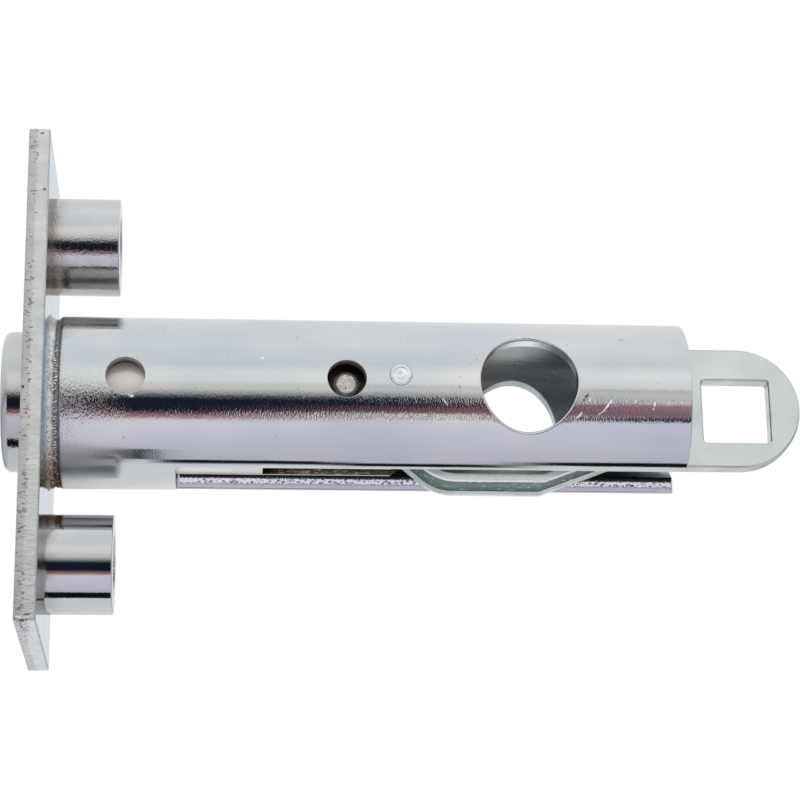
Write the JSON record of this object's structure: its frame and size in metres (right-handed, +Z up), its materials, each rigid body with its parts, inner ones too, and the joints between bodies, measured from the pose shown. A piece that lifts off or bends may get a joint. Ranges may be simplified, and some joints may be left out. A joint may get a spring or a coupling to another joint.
{
  "type": "tubular door bolt",
  "caption": "Tubular door bolt: slotted guide tube on a faceplate with threaded bosses, and a round bolt moved by a flat draw plate with a square eye.",
  "frame": {"origin": "on the bolt's axis at the front face of the faceplate, midway between the two fixing bosses", "axes": "+X runs back along the tube to the draw eye, so the bolt is thrown towards -X; +Z is up, from the lower boss to the upper one; the tube's slot faces -Z"},
  "size_m": [0.1028, 0.027, 0.064],
  "materials": {
    "zinc_bar": "sawn flat bar with zinc plating",
    "turned_zinc": "turned steel with bright zinc plating",
    "bright_tube": "drawn tube with bright zinc plating",
    "plated_weld": "weld bead plated over, with heat tint",
    "peened_pin": "peened steel pin, plated",
    "bolt_steel": "ground round bar with bright plating",
    "link_steel": "hard steel pin, unplated",
    "pale_zinc": "stamped plate, pale zinc plating",
    "strap_zinc": "bent strip, pale zinc plating"
  },
  "bodies": {
    "housing": {"faceplate": "zinc_bar", "upper_boss": "turned_zinc", "lower_boss": "turned_zinc", "guide_tube": "bright_tube", "tube_weld": "plated_weld", "stop_pin": "peened_pin"},
    "bolt_body": {"bolt": "bolt_steel", "link_pin": "link_steel"},
    "draw_bar": {"draw_plate": "pale_zinc", "guide_strap": "strap_zinc"}
  },
  "joints": [
    {"name": "bolt_slide", "type": "slide", "parent": "housing", "child": "bolt_body", "axis": [-1, 0, 0], "range_m": [0, 0.0275]},
    {"name": "draw_plate_pivot", "type": "hinge", "parent": "bolt_body", "child": "draw_bar", "pos_m": [0.0401, 0, 0], "axis": [0, 1, 0], "range_deg": [-0.8, 0.8]}
  ]
}
